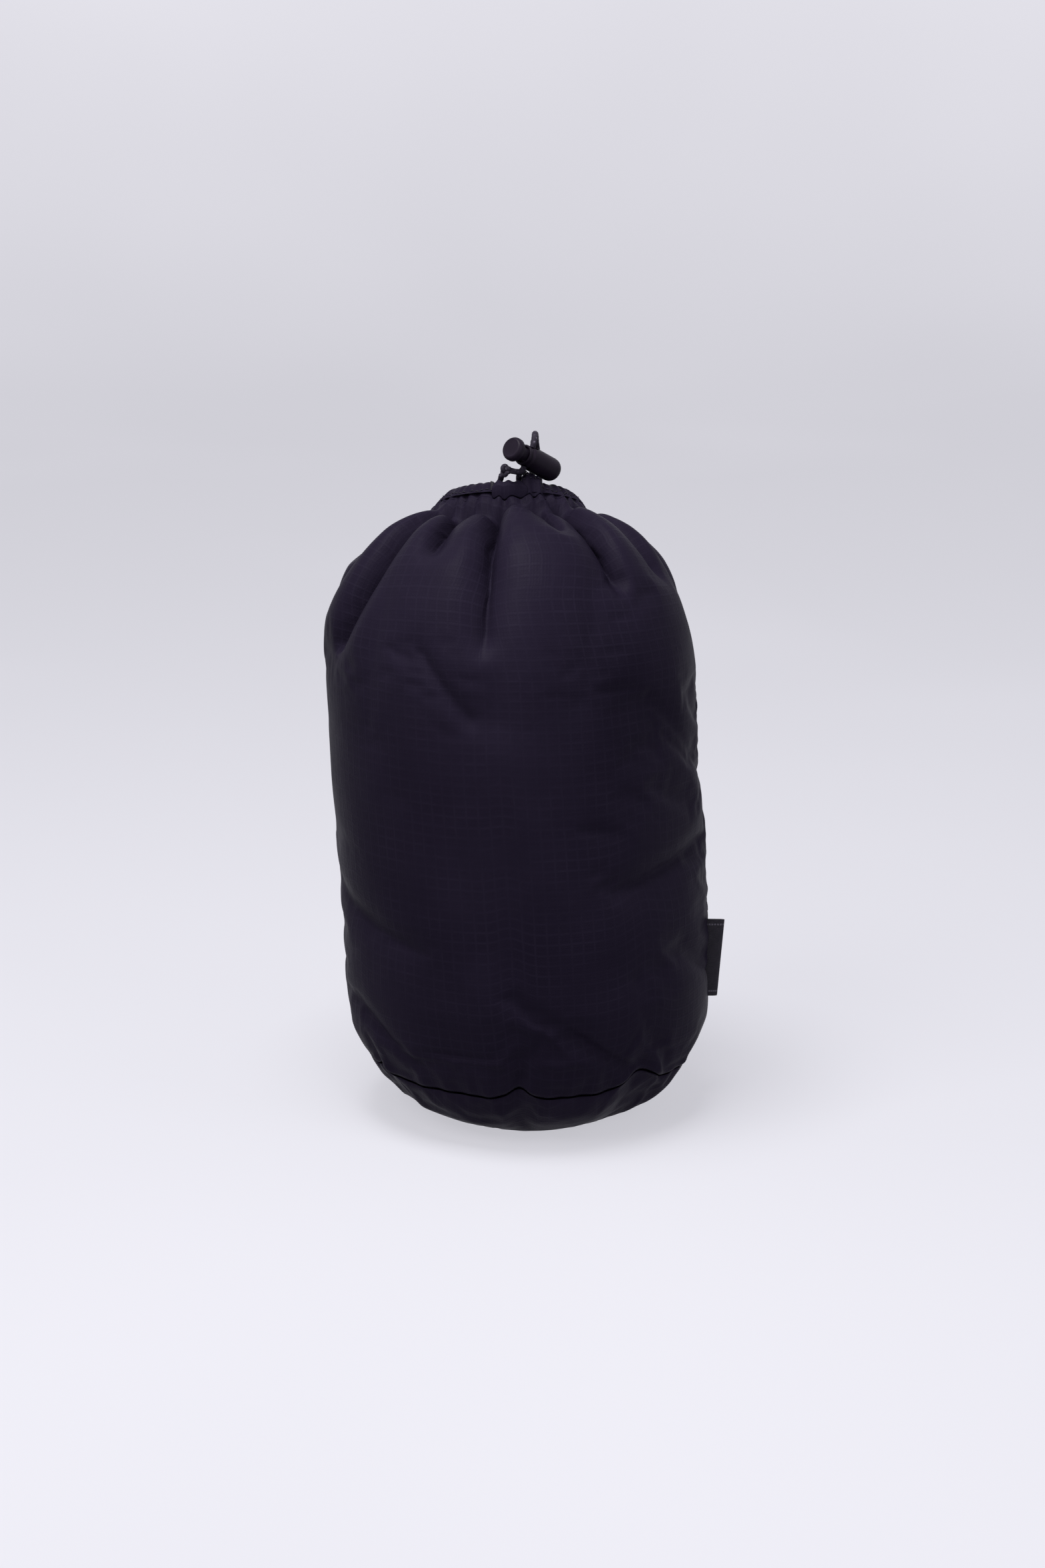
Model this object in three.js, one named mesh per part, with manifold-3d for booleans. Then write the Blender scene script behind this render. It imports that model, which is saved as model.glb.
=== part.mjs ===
// A drawcord stuff sack, standing full on its round base with its mouth gathered shut.
// Millimetres, +Z up. The origin is on the floor under the middle of the sack.
// The front, where the drawcord comes out, faces -Y. The side seam with its label faces +X.
import * as THREE from "three";
import { mergeVertices } from "three/addons/utils/BufferGeometryUtils.js";
import Module from "manifold-3d";

const wasm = await Module();
wasm.setup();

// Driving dimensions
const GAP = 0.3; // room between pieces that touch
const WALL = 1.4; // thickness that stands for the cloth
const ROUND_STEPS = 40; // facets round the sack
const FLOOR_R = 34; // flat disc that the sack stands on
const SEAM_R = 73; // base seam
const SEAM_Z = 27;
const BELLY_R = 81; // widest part
const DOME_R = 80; // the shoulder is part of a ball of this radius
const DOME_Z = 200; // height of the ball's centre
const HEM_R = 34; // stitch line of the hem
const MOUTH_TILT = THREE.MathUtils.degToRad(20); // the mouth leans back by this much
const LEAN_LOW = 1.2; // sideways place of the centre line near the base
const LEAN_HIGH = -7.6; // and at the shoulder
const LEAN_FROM_Z = 40;
const LEAN_TO_Z = 235;
const HEM_LATITUDE = Math.acos(HEM_R / DOME_R);
const STITCH_R = 33; // row of stitches that closes the hem
const STITCH_Z = 275.1;
const THREAD_D = 0.6;
const BARTACK = [1.2, 7, 0.8];
const CORD_D = 2.6;
const END_STEP_EASE = 0.7; // how much shorter a cord's steps are near its ends
const CORD_LOOP_R = 25; // the drawcord's loop inside the hem
const CORD_LOOP_Z = 275.3;
const KNOT_AT = [-9.2, -2, 286.4];
const KNOT_R = 3;
const KNOT_SHAPE = [1, 0.8, 1.1];
const KNOT_TURN = 0.5;
const EXIT_HALF = 6.3; // half of the gap between the tunnel's two ends
const ALLOWANCE = 6; // width of a seam allowance

// Cord lock, along its own axis from the plunger's face
const LOCK_FACE = new THREE.Vector3(-7.1, -8, 297.1);
const LOCK_AXIS = new THREE.Vector3(0.605, 0.671, -0.428).normalize();
const LOCK_CORD_WAY = new THREE.Vector3(0.4, 0.222, 0.889).normalize();
const LOCK_R = 5.2;
const LOCK_LENGTH = 31;
const BARREL_MOUTH = 8.6;
const SHOULDER_AT = 11.4; // the barrel's full width starts here
const COLLAR_R = 4.5;
const COLLAR_END = 10.2;
const BORE_R = 3.6;
const SHAFT_R = 3.3;
const SHAFT_END = 21.4;
const CORD_HOLE_AT = 12.5; // the barrel's cross hole
const CORD_HOLE_R = 3;
const PLUNGER_HOLE_R = 2.4;
const SPRING_WIRE_D = 0.6;
const SPRING_R = 2.6;
const SPRING_TURNS = 5;
const PRESS_TRAVEL = 3.6; // pressing the plunger this far brings the two cross holes in line
const FLOOR_THICKNESS = 1.6;

// Label in the side seam
const LABEL_LOW = 49;
const LABEL_HIGH = 85;
const LABEL_T = 1.2;
const LABEL_ROOT_X = 82.1;
const LABEL_TIP_LOW = 85.5;
const LABEL_TIP_HIGH = 88.4;

const colours = {
  cloth: [0x1c1826, 0.55],
  clothInside: [0x24202e, 0.6],
  thread: [0x131118, 0.8],
  cord: [0x1a1820, 0.8],
  plastic: [0x18161c, 0.38],
  steel: [0x9a9ba0, 0.3],
  label: [0x121118, 0.85],
};

function material(name) {
  const [color, roughness] = colours[name];
  return new THREE.MeshStandardMaterial({ color, roughness, metalness: name === "steel" ? 1 : 0 });
}

function piece(name, geometry, finish) {
  const mesh = new THREE.Mesh(geometry, material(finish));
  mesh.name = name;
  return mesh;
}

// Booleans

function solid(geometry) {
  const bare = geometry.clone();
  bare.deleteAttribute("normal");
  bare.deleteAttribute("uv");
  const merged = mergeVertices(bare, 1e-3);
  const mesh = new wasm.Mesh({
    numProp: 3,
    vertProperties: merged.attributes.position.array,
    triVerts: new Uint32Array(merged.index.array),
  });
  return new wasm.Manifold(mesh);
}

function cut(geometry, ...tools) {
  const left = tools.reduce((body, tool) => body.subtract(solid(tool)), solid(geometry)).getMesh();
  return new THREE.BufferGeometry()
    .setAttribute("position", new THREE.BufferAttribute(left.vertProperties, 3))
    .setIndex(new THREE.BufferAttribute(left.triVerts, 1));
}

// Shapes of the sack, drawn first about a straight upright axis

// A lathe turned so that its axis is +Z: outline points are [radius, height].
function revolve(outline, steps = ROUND_STEPS) {
  const points = outline.map(([r, z]) => new THREE.Vector2(r, z));
  return new THREE.LatheGeometry(points, steps).rotateX(Math.PI / 2);
}

function smooth(from, to, value) {
  return THREE.MathUtils.smoothstep(value, from, to);
}

const lean = (z) => THREE.MathUtils.lerp(LEAN_LOW, LEAN_HIGH, smooth(LEAN_FROM_Z, LEAN_TO_Z, z));

// Moves a straight geometry to where the cloth really is: circles above the shoulder's centre turn
// back towards the mouth, and the whole sack leans a little to the left.
function settle(geometry) {
  const place = geometry.attributes.position;
  const p = new THREE.Vector3();
  for (let i = 0; i < place.count; i++) {
    p.fromBufferAttribute(place, i);
    const latitude = Math.atan2(p.z - DOME_Z, Math.hypot(p.x, p.y));
    const tilt = MOUTH_TILT * smooth(0, HEM_LATITUDE, latitude);
    const side = lean(p.z);
    p.z -= DOME_Z;
    p.applyAxisAngle(new THREE.Vector3(1, 0, 0), -tilt);
    place.setXYZ(i, p.x + side, p.y, p.z + DOME_Z);
  }
  return geometry;
}

// The cloth's outer line from the base seam to the hem, and the same line further in.
function bodyLine(inset) {
  const flank = new THREE.SplineCurve([
    new THREE.Vector2(SEAM_R, SEAM_Z + GAP),
    new THREE.Vector2(78.4, 43),
    new THREE.Vector2(80.6, 66),
    new THREE.Vector2(BELLY_R, 100),
    new THREE.Vector2(BELLY_R, 150),
    new THREE.Vector2(DOME_R, DOME_Z),
  ]);
  const low = flank.getPoints(10).map((p) => [p.x - inset, p.y]);
  const turns = 8;
  const high = [];
  for (let i = 1; i <= turns; i++) {
    const angle = (HEM_LATITUDE * i) / turns;
    high.push([(DOME_R - inset) * Math.cos(angle), DOME_Z + (DOME_R - inset) * Math.sin(angle)]);
  }
  return [...low, ...high];
}

function closedLine(points) {
  return [...points, points[0]];
}

function bodyPanel() {
  const outside = bodyLine(0);
  const inside = bodyLine(WALL).reverse();
  return settle(revolve(closedLine([...outside, ...inside])));
}

// The base is a shallow bowl with a flat disc in the middle.
function baseLine(inset) {
  const bowl = new THREE.SplineCurve([
    new THREE.Vector2(FLOOR_R, 0),
    new THREE.Vector2(44, 3),
    new THREE.Vector2(58, 11.5),
    new THREE.Vector2(67, 19.5),
    new THREE.Vector2(SEAM_R, SEAM_Z),
  ]);
  return bowl.getPoints(7).map((p) => [p.x - inset, p.y + inset * (1 - (p.y / SEAM_Z))]);
}

function basePanel() {
  const outside = baseLine(0);
  const inside = baseLine(WALL).reverse();
  return settle(revolve([[0, 0], ...outside, ...inside, [0, WALL]]));
}

// Inside, the overlocked edges of the base seam make a flat ring.
function baseSeamAllowance() {
  const outer = SEAM_R - WALL - GAP;
  const low = SEAM_Z + 1;
  const high = low + WALL;
  const inner = outer - ALLOWANCE;
  return settle(revolve(closedLine([[outer, low], [outer, high], [inner, high], [inner, low]])));
}

// Inside, the side seam's overlocked edges stand in from the cloth at +X.
function sideSeamAllowance() {
  const outside = bodyLine(WALL + GAP).slice(2, -1);
  const inside = bodyLine(WALL + GAP + ALLOWANCE).slice(2, -1).reverse();
  const outline = new THREE.Shape([...outside, ...inside].map(([r, z]) => new THREE.Vector2(r, z)));
  const strip = new THREE.ExtrudeGeometry(outline, { depth: WALL, bevelEnabled: false });
  return settle(strip.rotateX(Math.PI / 2).translate(0, WALL / 2, 0));
}

// The hem is the cloth's edge folded over the drawcord: one leaf over it and one under it.
function mouthHem() {
  const over = [[33.7, 273.6], [30.5, 276.4], [25.5, 278.4], [20.5, 278.9], [17.6, 277.6]];
  const under = [[16.8, 275.3], [18, 273.2], [22, 272.4], [28, 271.6], [32.2, 271.1]];
  const underInside = [[32.1, 271.9], [28, 272.5], [22.2, 273.3], [18.9, 274.1], [17.8, 275.4]];
  const overInside = [[18.4, 276.9], [20.7, 277.9], [25.3, 277.4], [30, 275.4], [33.1, 272.8]];
  const ring = revolve(closedLine([...over, ...under, ...underInside, ...overInside]));
  const exit = new THREE.BoxGeometry(2 * EXIT_HALF, HEM_R, 20).translate(0, -HEM_R, CORD_LOOP_Z);
  return settle(cut(ring, exit));
}

// A tube along a curve.
function tube(curve, diameter, steps, sides = 8) {
  const section = new THREE.Shape();
  section.absarc(0, 0, diameter / 2, 0, 2 * Math.PI);
  return new THREE.ExtrudeGeometry(section, {
    steps,
    curveSegments: sides / 2,
    extrudePath: curve,
    bevelEnabled: false,
  });
}

// Points round the mouth at a radius and height, from one angle to another; angle 0 is the front.
function ringPoints(radius, z, from, to, count) {
  const points = [];
  for (let i = 0; i <= count; i++) {
    const angle = from + ((to - from) * i) / count;
    points.push(new THREE.Vector3(radius * Math.sin(angle), -radius * Math.cos(angle), z));
  }
  return points;
}

function hemStitching() {
  const start = Math.asin((EXIT_HALF + 1) / HEM_R);
  const points = ringPoints(STITCH_R, STITCH_Z, start, 2 * Math.PI - start, 48);
  return settle(tube(new THREE.CatmullRomCurve3(points), THREAD_D, 60, 6));
}

function bartack(side) {
  const stitches = new THREE.BoxGeometry(...BARTACK);
  const slope = Math.atan2(2, 5);
  return settle(stitches.rotateX(slope).translate(side * (EXIT_HALF + 1.6), -28.2, 278.2));
}

function cordInHem() {
  const start = Math.asin((EXIT_HALF + 0.6) / CORD_LOOP_R);
  const points = ringPoints(CORD_LOOP_R, CORD_LOOP_Z, start, 2 * Math.PI - start, 48);
  return settle(tube(new THREE.CatmullRomCurve3(points), CORD_D, 44));
}

// Free drawcord routes, from the hem to the lock and from the lock down the back of the sack
const ROUTES = {
  drawcord_strand_left: [
    [-13.5, 2.9, 279.1], [-12.4, 2.8, 279.9], [-11.5, 2.3, 281.8], [-11, 1, 284],
  ],
  drawcord_strand_right: [
    [-1.7, 2.9, 279.1], [-2.9, 2.9, 279.9], [-3.6, 2.7, 282], [-3.2, 1.7, 284.6], [-2.1, 0.6, 286.1],
    [-1.3, 0.8, 287.5],
  ],
  drawcord_knot_to_lock: [
    [-5.6, -2.7, 286.1], [-4.2, -2.8, 285.9], [-2.8, -2.7, 286.1], [-1.9, -2.3, 286.9],
    [-1.3, -2, 288.2],
  ],
  drawcord_tail: [
    [2.2, 0, 296], [2.8, 0.4, 297.6], [3.1, 1.9, 299.9], [3.3, 5, 301.2], [3.7, 8.8, 300.4],
    [3.9, 12.2, 297.2], [4.4, 15, 292.9], [4.8, 17.8, 288.4], [5.1, 21.4, 283.8],
    [5.4, 26, 279.6], [5.5, 31.4, 276.2], [5.6, 36.8, 273.8], [5.7, 42.4, 271.6],
    [6.5, 49, 268.2], [8.2, 55.4, 262], [10.8, 61.4, 253.4], [14.4, 67.2, 242.2],
    [18.4, 72.2, 229], [22.4, 75.2, 213.5], [25.4, 76.6, 196], [26.8, 77.6, 178.5],
    [26.5, 78.8, 161], [25, 79.6, 145], [20.5, 80.8, 132.5], [14.5, 81.8, 130], [9.5, 82.3, 136],
    [8.5, 82.4, 149], [9.5, 82, 165], [11, 81.4, 182], [12, 80.3, 199], [12, 78.2, 215.5],
    [10.8, 74.2, 230], [8.6, 68.3, 243], [6, 61.4, 254.8], [3.8, 53.8, 264.8],
    [2.6, 46.6, 269.2], [2.3, 40.4, 271.9], [2.2, 34.6, 274.2], [2.2, 29, 276.8],
    [2.2, 23.8, 280], [2.2, 19.4, 283.6], [2.2, 15.8, 287.4], [2.4, 12.6, 291.4],
    [2.6, 9.6, 295.2], [2.7, 6.8, 297.6], [2.8, 4.5, 297.6], [2.6, 3.2, 296.6], [2.2, 2.7, 295.3],
  ],
};

// A curve whose even steps are shorter near both of its ends, where the cord bends most.
class ShortEndSteps extends THREE.CatmullRomCurve3 {
  ease(u) {
    return THREE.MathUtils.lerp(u, THREE.MathUtils.smoothstep(u, 0, 1), END_STEP_EASE);
  }
  getPointAt(u, target) {
    return super.getPointAt(this.ease(u), target);
  }
  getTangentAt(u, target) {
    return super.getTangentAt(this.ease(u), target);
  }
}

function route(name) {
  return new ShortEndSteps(ROUTES[name].map((p) => new THREE.Vector3(...p)));
}

function strand(name, steps) {
  return piece(name, tube(route(name), CORD_D, steps), "cord");
}

// The drawcord's ends are tied together in front, just under the lock.
function knot() {
  const lump = new THREE.SphereGeometry(KNOT_R, 14, 10);
  return lump.scale(...KNOT_SHAPE).rotateY(KNOT_TURN).translate(...KNOT_AT);
}

// Cord lock, drawn along +Y from the plunger's face

function along(outline) {
  return new THREE.LatheGeometry(outline.map(([r, y]) => new THREE.Vector2(r, y)), 28);
}

function crossHole(radius, y) {
  return new THREE.CylinderGeometry(radius, radius, 3 * LOCK_R, 20)
    .rotateZ(Math.PI / 2)
    .translate(0, y, 0);
}

function barrel() {
  const inside = LOCK_LENGTH - FLOOR_THICKNESS;
  const body = along([
    [0, inside],
    [BORE_R, inside],
    [BORE_R, BARREL_MOUTH],
    [COLLAR_R, BARREL_MOUTH],
    [COLLAR_R, COLLAR_END],
    [LOCK_R, SHOULDER_AT],
    [LOCK_R, 28.4],
    [4.6, 30.2],
    [3.2, LOCK_LENGTH],
    [0, LOCK_LENGTH],
  ]);
  return cut(body, crossHole(CORD_HOLE_R, CORD_HOLE_AT));
}

function plunger() {
  const body = along([
    [0, 0],
    [3.6, 0.2],
    [4.8, 0.8],
    [LOCK_R, 1.8],
    [LOCK_R, 3.6],
    [SHAFT_R, 4.4],
    [SHAFT_R, SHAFT_END],
    [0, SHAFT_END],
  ]);
  return cut(body, crossHole(PLUNGER_HOLE_R, CORD_HOLE_AT - PRESS_TRAVEL));
}

class Helix extends THREE.Curve {
  constructor(radius, low, high, turns) {
    super();
    Object.assign(this, { radius, low, high, turns });
  }
  getPoint(t) {
    const angle = 2 * Math.PI * this.turns * t;
    const y = THREE.MathUtils.lerp(this.low, this.high, t);
    return new THREE.Vector3(this.radius * Math.cos(angle), y, this.radius * Math.sin(angle));
  }
}

function spring() {
  const room = GAP + SPRING_WIRE_D / 2;
  const high = LOCK_LENGTH - FLOOR_THICKNESS - room;
  return tube(new Helix(SPRING_R, SHAFT_END + room, high, SPRING_TURNS), SPRING_WIRE_D, 60, 6);
}

function cordLock() {
  const lock = new THREE.Group();
  const side = new THREE.Vector3().crossVectors(LOCK_CORD_WAY, LOCK_AXIS);
  const cordWay = new THREE.Vector3().crossVectors(LOCK_AXIS, side);
  lock.setRotationFromMatrix(new THREE.Matrix4().makeBasis(cordWay, LOCK_AXIS, side));
  lock.position.copy(LOCK_FACE);
  lock.add(piece("cord_lock_barrel", barrel(), "plastic"));
  lock.add(piece("cord_lock_plunger", plunger(), "plastic"));
  lock.add(piece("cord_lock_spring", spring(), "steel"));
  return lock;
}

// The label is a folded ribbon; its cut ends are caught in the side seam.
function sideLabel() {
  const outline = new THREE.Shape([
    new THREE.Vector2(LABEL_ROOT_X, LABEL_LOW),
    new THREE.Vector2(LABEL_TIP_LOW, LABEL_LOW),
    new THREE.Vector2(LABEL_TIP_HIGH, LABEL_HIGH),
    new THREE.Vector2(LABEL_ROOT_X, LABEL_HIGH),
  ]);
  const ribbon = new THREE.ExtrudeGeometry(outline, { depth: LABEL_T, bevelEnabled: false });
  return ribbon.rotateX(Math.PI / 2).translate(0, LABEL_T / 2, 0);
}

const sack = new THREE.Group();
sack.add(piece("body_panel", bodyPanel(), "cloth"));
sack.add(piece("base_panel", basePanel(), "cloth"));
sack.add(piece("base_seam_allowance", baseSeamAllowance(), "clothInside"));
sack.add(piece("side_seam_allowance", sideSeamAllowance(), "clothInside"));
sack.add(piece("mouth_hem", mouthHem(), "cloth"));
sack.add(piece("hem_stitching", hemStitching(), "thread"));
sack.add(piece("tunnel_bartack_left", bartack(-1), "thread"));
sack.add(piece("tunnel_bartack_right", bartack(1), "thread"));
sack.add(piece("drawcord_in_hem", cordInHem(), "cord"));
sack.add(strand("drawcord_strand_left", 3));
sack.add(strand("drawcord_strand_right", 4));
sack.add(piece("drawcord_knot", knot(), "cord"));
sack.add(strand("drawcord_knot_to_lock", 4));
sack.add(strand("drawcord_tail", 70));
sack.add(cordLock());
sack.add(piece("side_label", sideLabel(), "label"));

export default sack;
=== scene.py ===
"""A drawcord stuff sack of dark ripstop nylon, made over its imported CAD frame.

Shapes are in millimetres until a mesh is made, +Z up, and the floor is z = 0. The front, where
the drawcord comes out, faces -Y; the side seam with its label faces +X.
"""
import math

import bmesh
import bpy
import numpy as np
from mathutils import Matrix, Vector
from mathutils.geometry import delaunay_2d_cdt


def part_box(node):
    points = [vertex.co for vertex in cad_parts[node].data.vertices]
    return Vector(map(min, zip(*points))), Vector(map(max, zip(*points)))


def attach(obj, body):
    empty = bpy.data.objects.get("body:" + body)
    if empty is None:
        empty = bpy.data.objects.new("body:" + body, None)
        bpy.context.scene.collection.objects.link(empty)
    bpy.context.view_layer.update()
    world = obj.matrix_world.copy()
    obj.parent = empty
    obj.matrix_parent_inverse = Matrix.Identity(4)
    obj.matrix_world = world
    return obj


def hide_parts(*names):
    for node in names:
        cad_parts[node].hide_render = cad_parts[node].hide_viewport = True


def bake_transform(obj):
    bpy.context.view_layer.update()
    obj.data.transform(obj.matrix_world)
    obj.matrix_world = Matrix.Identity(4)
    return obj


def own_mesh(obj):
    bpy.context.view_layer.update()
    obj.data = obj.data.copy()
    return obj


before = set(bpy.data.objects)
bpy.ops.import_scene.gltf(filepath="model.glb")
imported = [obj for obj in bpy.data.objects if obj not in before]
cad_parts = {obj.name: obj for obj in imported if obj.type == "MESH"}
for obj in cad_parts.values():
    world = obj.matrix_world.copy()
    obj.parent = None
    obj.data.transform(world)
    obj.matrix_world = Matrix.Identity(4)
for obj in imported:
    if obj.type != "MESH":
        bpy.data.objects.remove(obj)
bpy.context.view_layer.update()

MM = 0.001

# The sack's shape, as the CAD has it
SEAM_R = 73.0
SEAM_Z = 27.3
BELLY_R = 81.0
DOME_R = 80.0
DOME_Z = 200.0
HEM_R = 34.0
HEM_LATITUDE = math.acos(HEM_R / DOME_R)
MOUTH_TILT = math.radians(20)
LEAN_LOW, LEAN_HIGH = 1.2, -7.6
LEAN_FROM_Z, LEAN_TO_Z = 40.0, 235.0
FLANK_R = ((27.3, 73.0), (43, 78.4), (66, 80.6), (100, 81.0), (150, 81.0), (200, 80.0))
BASE_LINE = ((0, 0), (34, 0), (44, 3), (58, 11.5), (67, 19.5), (73, 27.3))
CORD_D = 2.6
CORD_R = CORD_D / 2
CORD_LOOP_R = 25.0
CORD_LOOP_Z = 275.3
EXIT_HALF = 6.3

# The cord lock along its own axis, as the CAD has it
LOCK_FACE = Vector((-7.1, -8, 297.1))
LOCK_AXIS = Vector((0.605, 0.671, -0.428)).normalized()
LOCK_CORD_WAY = Vector((0.4, 0.222, 0.889)).normalized()
LOCK_R = 5.2
LOCK_LENGTH = 31.0
BARREL_MOUTH = 8.6
BORE_R = 3.6
SHAFT_R = 3.3
SHAFT_END = 21.4
CORD_HOLE_AT = 12.5
PRESS_TRAVEL = 3.6
SPRING_R = 2.6
SPRING_WIRE_R = 0.3
SPRING_TURNS = 5
SPRING_FROM, SPRING_TO = SHAFT_END + 0.65, LOCK_LENGTH - 2.25

# The cloth as it was cut: a tube that is as wide round as the belly, sewn to a round base
GIRTH = 2 * math.pi * BELLY_R
MERIDIAN = (DOME_Z - SEAM_Z) + DOME_R * HEM_LATITUDE
CLOTH_T = 0.5

# The grid of cloth: columns round the sack, rows up it, and where the side seam runs
COLUMNS = 240
SPACING = GIRTH / COLUMNS
COLUMN_ANGLES = np.linspace(-math.pi, math.pi, COLUMNS, endpoint=False)
SIDE_COLUMN = COLUMNS * 3 // 4
BASE_ROWS = 30
FLAT_ROWS = 13
FLANK_ROWS = 80
DOME_ROWS = 50
PATCH_STEP = 4.0
DENSE = 4096
DENSE_ANGLES = np.linspace(-math.pi, math.pi, DENSE, endpoint=False)


def smooth(low, high, value):
    t = np.clip((value - low) / (high - low), 0, 1)
    return t * t * (3 - 2 * t)


def turn_from(angles, at):
    """How far each angle is from one in degrees, between minus and plus half a turn."""
    return (angles - math.radians(at) + math.pi) % (2 * math.pi) - math.pi


def bump(angles, at, width):
    """1 at an angle in degrees, falling to nothing over a width in degrees."""
    return np.exp(-((turn_from(angles, at) / math.radians(width)) ** 2))


def round_the_sack(radius, angles, z):
    """Points at a radius, at angles from the front, at a height; radius and height may change."""
    return np.stack([radius * np.sin(angles), -radius * np.cos(angles), z + 0 * angles], 1)


def settle(points):
    """Leans the mouth back and the whole sack a little to the left, as the CAD does."""
    x, y, z = points.T
    latitude = np.arctan2(z - DOME_Z, np.hypot(x, y))
    tilt = MOUTH_TILT * smooth(0, HEM_LATITUDE, latitude)
    side = LEAN_LOW + (LEAN_HIGH - LEAN_LOW) * smooth(LEAN_FROM_Z, LEAN_TO_Z, z)
    up = z - DOME_Z
    back = y * np.cos(tilt) + up * np.sin(tilt)
    rise = up * np.cos(tilt) - y * np.sin(tilt)
    return np.stack([x + side, back, rise + DOME_Z], 1)


# Meshes


def new_object(name, data):
    """An object that holds the data, put in the scene."""
    obj = bpy.data.objects.new(name, data)
    bpy.context.scene.collection.objects.link(obj)
    return obj


def mesh_object(name, points, faces, material, uv=None, body="sack"):
    """A mesh object from points in millimetres. uv gives each point's place on the flat cloth."""
    mesh = bpy.data.meshes.new(name)
    mesh.from_pydata((np.asarray(points, float) * MM).tolist(), [], faces)
    mesh.validate()
    mesh.update()
    mesh.polygons.foreach_set("use_smooth", [True] * len(mesh.polygons))
    obj = new_object(name, mesh)
    mesh.materials.append(material)
    if uv is not None:
        layer = mesh.uv_layers.new(name="flat_cloth")
        corner = np.empty(len(mesh.loops), np.int32)
        mesh.loops.foreach_get("vertex_index", corner)
        layer.data.foreach_set("uv", np.asarray(uv, float)[corner].ravel())
    if body:
        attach(obj, body)
    return obj


def rough_object(name, points, faces):
    """An object that only helps to make another's mesh."""
    mesh = bpy.data.meshes.new(name)
    mesh.from_pydata([tuple(p) for p in points], [], faces)
    mesh.update()
    return new_object(name, mesh)


def add_modifier(obj, name, kind, **settings):
    modifier = obj.modifiers.new(name, kind)
    for key, value in settings.items():
        setattr(modifier, key, value)
    return modifier


def grid_faces(rows, columns, closed=True, first=0):
    """Faces of a grid of points in rows; a closed grid joins its last column to its first."""
    faces = []
    across = columns if closed else columns - 1
    for i in range(rows - 1):
        for j in range(across):
            a = first + i * columns + j
            b = first + i * columns + (j + 1) % columns
            faces.append((a, b, b + columns, a + columns))
    return faces


# Curves and tubes


def catmull_rom(points, step):
    """A centripetal curve through the points, given back at even steps."""
    p = [np.asarray(q, float) for q in points]
    p = [2 * p[0] - p[1], *p, 2 * p[-1] - p[-2]]
    line = []
    for a, b, c, d in zip(p, p[1:], p[2:], p[3:]):
        t1 = np.linalg.norm(b - a) ** 0.5
        t2 = t1 + np.linalg.norm(c - b) ** 0.5
        t3 = t2 + np.linalg.norm(d - c) ** 0.5
        for t in np.linspace(t1, t2, 24, endpoint=False):
            a1 = a + (b - a) * t / t1
            a2 = b + (c - b) * (t - t1) / (t2 - t1)
            a3 = c + (d - c) * (t - t2) / (t3 - t2)
            b1 = a1 + (a2 - a1) * t / t2
            b2 = a2 + (a3 - a2) * (t - t1) / (t3 - t1)
            line.append(b1 + (b2 - b1) * (t - t1) / (t2 - t1))
    line.append(p[-2])
    return even_steps(np.array(line), step)


def even_steps(line, step):
    gaps = np.linalg.norm(np.diff(line, axis=0), axis=1)
    along = np.concatenate([[0], np.cumsum(gaps)])
    count = max(2, round(along[-1] / step) + 1)
    at = np.linspace(0, along[-1], count)
    return np.stack([np.interp(at, along, line[:, k]) for k in range(3)], 1)


def line_length(line):
    return float(np.linalg.norm(np.diff(line, axis=0), axis=1).sum())


def frames_along(line):
    """Two directions across the line at each of its points, carried along without twisting."""
    ways = np.gradient(line, axis=0)
    ways /= np.linalg.norm(ways, axis=1)[:, None]
    side = np.cross(ways[0], [0.3, 0.9, 0.2])
    sides, ups = [], []
    for way in ways:
        side = side - way * side.dot(way)
        side /= np.linalg.norm(side)
        sides.append(side)
        ups.append(np.cross(way, side))
    return np.array(sides), np.array(ups)


def tube_points(line, radii, sides):
    """Rings of points round a line; radii is one number or an array of ring by side."""
    across, up = frames_along(line)
    angle = np.linspace(0, 2 * math.pi, sides, endpoint=False)
    radii = np.broadcast_to(radii, (len(line), sides))
    ring = across[:, None] * np.cos(angle)[None, :, None] + up[:, None] * np.sin(angle)[None, :, None]
    return (line[:, None] + ring * radii[:, :, None]).reshape(-1, 3)


def capped(points, faces, sides, start, end):
    """Closes a tube made of rings with a point in the middle of each end."""
    first, last = len(points), len(points) - sides
    for j in range(sides):
        faces.append((first, (j + 1) % sides, j))
        faces.append((first + 1, last + j, last + (j + 1) % sides))
    return np.vstack([points, start, end]), faces


def closed_tube(line, radii, sides):
    """A tube round a line, closed flat at both ends, as points and faces."""
    points = tube_points(line, radii, sides)
    return capped(points, grid_faces(len(line), sides), sides, line[0], line[-1])


# The cord's braid: yarns that make knuckles, how often they come round, and the mesh that shows them
BRAID_YARNS = 6
BRAID_PITCH = 2.3
BRAID_DEPTH = 0.11
BRAID_SIDES = 24
BRAID_STEP = 0.33


def braided(line):
    """Radii of a braided cord: its yarns make staggered knuckles all over it."""
    along = np.arange(len(line))[:, None] * line_length(line) / (len(line) - 1)
    round_it = np.linspace(0, 2 * math.pi, BRAID_SIDES, endpoint=False)[None]
    knuckle = np.cos(BRAID_YARNS * round_it) * np.cos(2 * math.pi * along / BRAID_PITCH)
    return CORD_R - BRAID_DEPTH * (0.5 - 0.5 * knuckle)


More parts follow.
